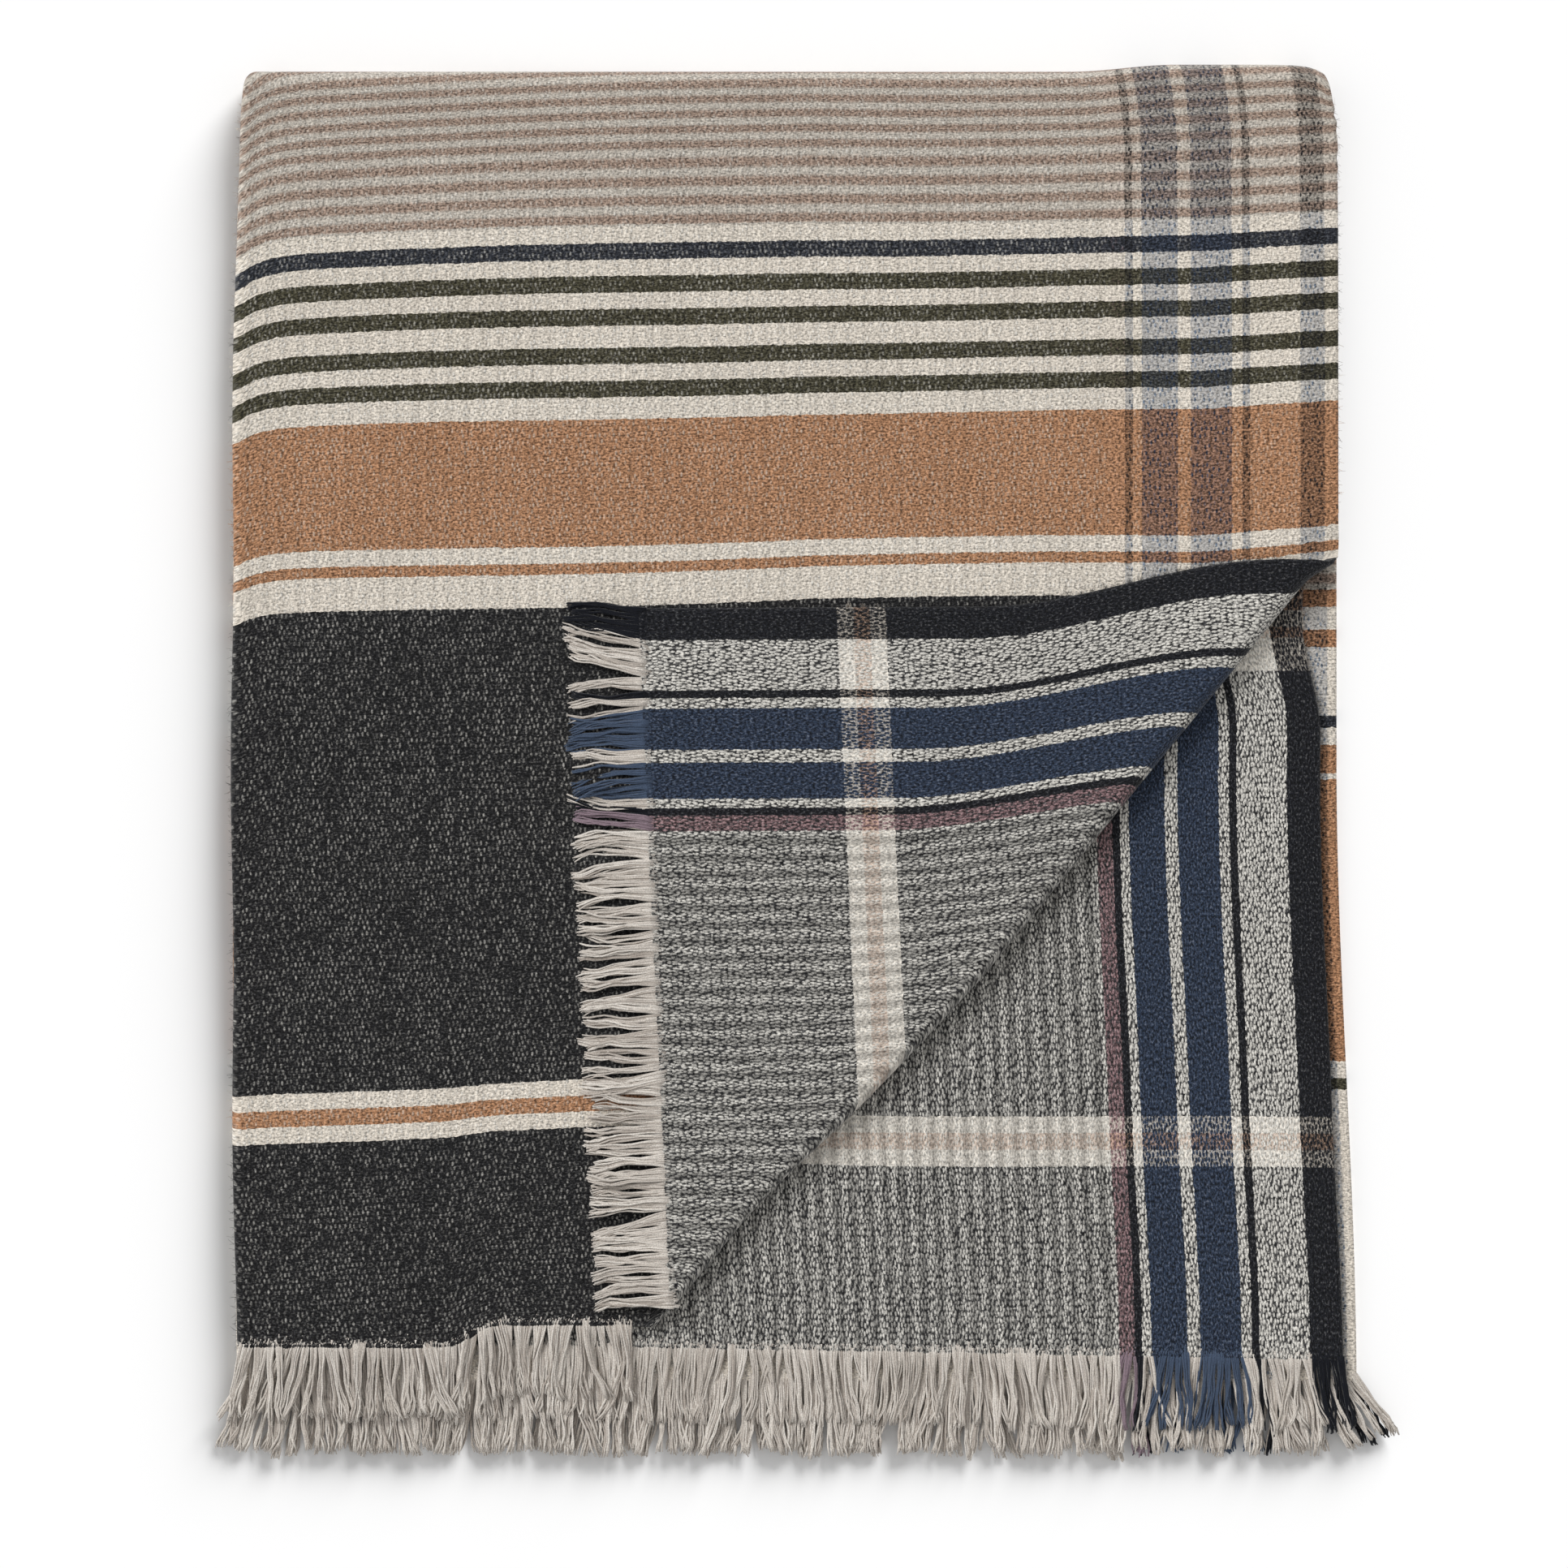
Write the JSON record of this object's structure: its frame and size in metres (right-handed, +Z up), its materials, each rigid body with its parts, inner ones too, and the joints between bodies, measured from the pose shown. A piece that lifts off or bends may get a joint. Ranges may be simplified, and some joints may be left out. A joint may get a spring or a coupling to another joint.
{
  "type": "folded throw blanket",
  "caption": "Double-faced brushed wool throw, folded in quarters with one corner of its top layer turned back, fringed at both ends.",
  "frame": {"origin": "on the surface that the throw lies on, under the middle of the folded throw's box", "axes": "+Z up; +Y from the fringes towards the top fold; +X from the side folds towards the selvages"},
  "size_m": [0.648, 0.796, 0.0296],
  "materials": {
    "banded_wool": "matte",
    "striped_wool": "matte",
    "fringe_yarn": "matte"
  },
  "bodies": {
    "lower_half": {"bottom_panel": "banded_wool", "bottom_fringe": "fringe_yarn", "lower_inner_panel": "striped_wool", "lower_inner_fringe": "fringe_yarn", "lower_side_fold": "banded_wool", "top_fold_outer_lower": "banded_wool", "top_fold_inner_lower": "striped_wool"},
    "upper_half": {"upper_inner_panel": "striped_wool", "upper_inner_fringe": "fringe_yarn", "top_panel": "banded_wool", "top_fringe": "fringe_yarn", "upper_side_fold": "banded_wool", "top_fold_outer_upper": "banded_wool", "top_fold_inner_upper": "striped_wool", "crease_under": "banded_wool"},
    "corner": {"crease_over": "striped_wool", "corner_flap": "striped_wool", "corner_fringe": "fringe_yarn"}
  },
  "joints": [
    {"name": "top_fold", "type": "hinge", "parent": "lower_half", "child": "upper_half", "pos_m": [0, 0.39815, 0.0123], "axis": [-1, 0, 0], "range_deg": [0, 180]},
    {"name": "corner_fold", "type": "hinge", "parent": "upper_half", "child": "corner", "pos_m": [0.11661, -0.1046, 0.0223], "axis": [0.6626, 0.749, 0], "range_deg": [0, 180]}
  ]
}
